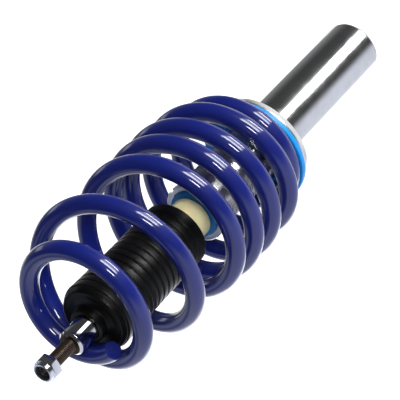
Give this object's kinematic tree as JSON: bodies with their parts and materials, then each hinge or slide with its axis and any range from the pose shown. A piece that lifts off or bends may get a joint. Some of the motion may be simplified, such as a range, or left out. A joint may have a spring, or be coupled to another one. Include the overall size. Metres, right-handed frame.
{
  "type": "strut assembly",
  "caption": "Coilover front strut: threaded damper tube, screw-adjusted spring perch, barrel coil spring, chrome piston rod with dust boot and lock nut.",
  "frame": {"origin": "centre of the damper tube's bottom face", "axes": "+Z along the strut axis from the tube bottom to the rod end; the spring's top end leans towards +X and -Y and its square-cut wire end lies near -X"},
  "size_m": [0.1474, 0.15, 0.468],
  "materials": {
    "zinc_tube": "bright zinc plate with a fine turned grain",
    "zinc_ring": "bright zinc plate, machined",
    "zinc_nut": "bright zinc plate, cold formed",
    "plain_steel": "oiled drawn steel",
    "dark_screw": "black oxide",
    "sintered_iron": "matt sintered",
    "spring_steel": "polished strip",
    "bearing_bronze": "porous bronze with a PTFE face",
    "ptfe_band": "bronze-filled PTFE",
    "nitrile_rubber": "smooth moulded",
    "boot_rubber": "satin moulded thermoplastic rubber",
    "gland_cap_blue": "moulded",
    "seat_azure": "moulded",
    "bump_foam": "microcellular polyurethane skin",
    "spring_blue": "gloss blue powder coat",
    "hard_chrome": "ground and polished hard chrome, with a brown oxide stud",
    "nylon": "moulded"
  },
  "bodies": {
    "housing": {"housing_tube": "zinc_tube", "base_plug": "zinc_tube", "pressure_tube": "plain_steel", "foot_valve_body": "sintered_iron", "foot_valve_disc": "spring_steel", "foot_valve_rivet": "plain_steel", "rod_guide": "sintered_iron", "guide_bush": "bearing_bronze", "rod_seal": "nitrile_rubber", "gland_nut": "zinc_ring", "gland_cap": "gland_cap_blue", "bump_stop": "bump_foam"},
    "perch_carriage": {"spring_seat": "seat_azure", "coil_spring": "spring_blue"},
    "perch_ring": {"perch_collar": "zinc_ring", "perch_set_screw": "dark_screw"},
    "spring_top": {"spring_top_coil": "spring_blue"},
    "piston_carrier": {"piston_band": "ptfe_band"},
    "rod": {"piston_rod": "hard_chrome", "piston": "sintered_iron", "rebound_shims": "spring_steel", "compression_shims": "spring_steel", "piston_nut": "plain_steel", "rebound_stop_ring": "plain_steel", "rebound_buffer": "nitrile_rubber", "dust_boot": "boot_rubber"},
    "nut_carrier": {"nut_nylon_ring": "nylon"},
    "lock_nut": {"top_nut": "zinc_nut"}
  },
  "joints": [
    {"name": "perch_height", "type": "slide", "parent": "housing", "child": "perch_carriage", "axis": [0, 0, 1], "range_m": [0, 0.028]},
    {"name": "perch_turn", "type": "hinge", "parent": "perch_carriage", "child": "perch_ring", "pos_m": [0, 0, 0.15], "axis": [0, 0, 1], "range_deg": [0, 5041]},
    {"name": "spring_top_slide", "type": "slide", "parent": "perch_carriage", "child": "spring_top", "axis": [0, 0, 1], "range_m": [-0.0851, 0.0001], "deforming": ["coil_spring"]},
    {"name": "rod_slide", "type": "slide", "parent": "housing", "child": "piston_carrier", "axis": [0, 0, 1], "range_m": [-0.085, 0], "stiffness_N_per_m": 250, "springref_m": 0.4},
    {"name": "rod_turn", "type": "hinge", "parent": "piston_carrier", "child": "rod", "pos_m": [0, 0, 0.15], "axis": [0, 0, 1], "continuous": true},
    {"name": "nut_travel", "type": "slide", "parent": "rod", "child": "nut_carrier", "axis": [0, 0, 1], "range_m": [-0.0225, 0]},
    {"name": "nut_turn", "type": "hinge", "parent": "nut_carrier", "child": "lock_nut", "pos_m": [0, 0, 0.46], "axis": [0, 0, 1], "range_deg": [-5401, 0]}
  ],
  "couplings": [
    {"joint": "perch_turn", "follows": "perch_height", "rad_per_m": 3141.6},
    {"joint": "spring_top_slide", "follows": "rod_slide", "ratio": 1},
    {"joint": "nut_turn", "follows": "nut_travel", "rad_per_m": 4188.8}
  ]
}
